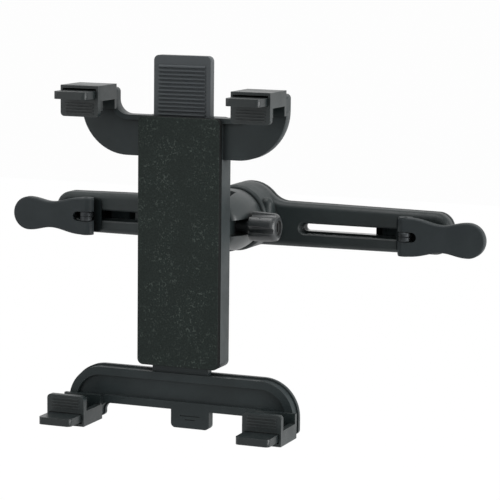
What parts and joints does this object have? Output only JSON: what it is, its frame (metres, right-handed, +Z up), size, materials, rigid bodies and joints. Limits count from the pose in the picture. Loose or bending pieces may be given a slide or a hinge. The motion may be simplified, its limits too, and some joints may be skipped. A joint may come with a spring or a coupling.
{
  "type": "headrest tablet mount",
  "caption": "Black plastic tablet mount for a car headrest: slotted bar with cam lever clamps, swivel and tilt neck, sliding holder with ribbed claws.",
  "frame": {"origin": "midway between the two headrest post axes, at the bar's mid height", "axes": "+X along the bar to the right as seen from the tablet side, -Y towards the tablet side, +Z up"},
  "size_m": [0.3006, 0.1645, 0.2089],
  "materials": {
    "bar_plastic": "fine grained black moulding",
    "neck_plastic": "satin black moulding",
    "knob_plastic": "glossy black moulding",
    "holder_plastic": "satin black moulding",
    "panel_grain": "sand grained black moulding",
    "claw_plastic": "satin black moulding",
    "slider_plastic": "satin black moulding",
    "clamp_plastic": "matt black moulding",
    "lever_plastic": "satin black moulding",
    "steel": "plain zinc plated",
    "black_steel": "black oxide"
  },
  "bodies": {
    "bar": {"headrest_bar": "bar_plastic", "bar_cover": "bar_plastic", "bar_screws": "steel", "hub_cap": "bar_plastic"},
    "neck": {"swivel_neck": "neck_plastic", "swivel_washer": "steel", "swivel_screw": "steel", "tilt_bolt": "steel"},
    "knob": {"tilt_knob": "knob_plastic"},
    "holder": {"holder_housing": "holder_plastic", "front_panel": "panel_grain", "panel_screws": "steel", "detent_spring": "steel", "upper_left_claw": "claw_plastic", "upper_right_claw": "claw_plastic", "upper_claw_screws": "steel"},
    "bracket": {"lower_bracket": "holder_plastic", "lower_left_claw": "claw_plastic", "lower_right_claw": "claw_plastic", "lower_claw_screws": "steel"},
    "upper_left_grip": {"upper_left_slider": "slider_plastic"},
    "upper_right_grip": {"upper_right_slider": "slider_plastic"},
    "lower_left_grip": {"lower_left_slider": "slider_plastic"},
    "lower_right_grip": {"lower_right_slider": "slider_plastic"},
    "left_clamp": {"left_clamp_saddle": "clamp_plastic"},
    "right_clamp": {"right_clamp_saddle": "clamp_plastic"},
    "left_jaw": {"left_clamp_jaw": "clamp_plastic", "left_eye_bolt": "black_steel", "left_jaw_nut": "steel", "left_cam_pin": "black_steel"},
    "right_jaw": {"right_clamp_jaw": "clamp_plastic", "right_eye_bolt": "black_steel", "right_jaw_nut": "steel", "right_cam_pin": "black_steel"},
    "left_lever": {"left_cam_lever": "lever_plastic"},
    "right_lever": {"right_cam_lever": "lever_plastic"}
  },
  "joints": [
    {"name": "swivel", "type": "hinge", "parent": "bar", "child": "neck", "pos_m": [0, -0.035, 0.006], "axis": [0, 1, 0], "continuous": true},
    {"name": "tilt", "type": "hinge", "parent": "neck", "child": "holder", "pos_m": [0, -0.054, 0.0044], "axis": [1, 0, 0], "range_deg": [-15, 15]},
    {"name": "knob_turn", "type": "hinge", "parent": "neck", "child": "knob", "pos_m": [0.02, -0.054, 0.0044], "axis": [1, 0, 0], "continuous": true},
    {"name": "rail_slide", "type": "slide", "parent": "holder", "child": "bracket", "axis": [0, 0, -1], "range_m": [-0.001, 0.055]},
    {"name": "upper_left_push", "type": "slide", "parent": "holder", "child": "upper_left_grip", "axis": [0, 1, 0], "range_m": [-0.002, 0.006]},
    {"name": "upper_right_push", "type": "slide", "parent": "holder", "child": "upper_right_grip", "axis": [0, 1, 0], "range_m": [-0.002, 0.006]},
    {"name": "lower_left_push", "type": "slide", "parent": "bracket", "child": "lower_left_grip", "axis": [0, 1, 0], "range_m": [0, 0.008]},
    {"name": "lower_right_push", "type": "slide", "parent": "bracket", "child": "lower_right_grip", "axis": [0, 1, 0], "range_m": [0, 0.008]},
    {"name": "left_clamp_slide", "type": "slide", "parent": "bar", "child": "left_clamp", "axis": [1, 0, 0], "range_m": [-0.003, 0.05]},
    {"name": "right_clamp_slide", "type": "slide", "parent": "bar", "child": "right_clamp", "axis": [-1, 0, 0], "range_m": [-0.003, 0.05]},
    {"name": "left_jaw_release", "type": "slide", "parent": "left_clamp", "child": "left_jaw", "axis": [0, 1, 0], "range_m": [0, 0.001]},
    {"name": "right_jaw_release", "type": "slide", "parent": "right_clamp", "child": "right_jaw", "axis": [0, 1, 0], "range_m": [0, 0.001]},
    {"name": "left_lever_turn", "type": "hinge", "parent": "left_jaw", "child": "left_lever", "pos_m": [-0.102, -0.0255, 0], "axis": [0, 0, 1], "range_deg": [0, 90]},
    {"name": "right_lever_turn", "type": "hinge", "parent": "right_jaw", "child": "right_lever", "pos_m": [0.102, -0.0255, 0], "axis": [0, 0, -1], "range_deg": [0, 90]}
  ],
  "couplings": [
    {"joint": "left_lever_turn", "follows": "left_jaw_release", "rad_per_m": 1570.8},
    {"joint": "right_lever_turn", "follows": "right_jaw_release", "rad_per_m": 1570.8}
  ]
}
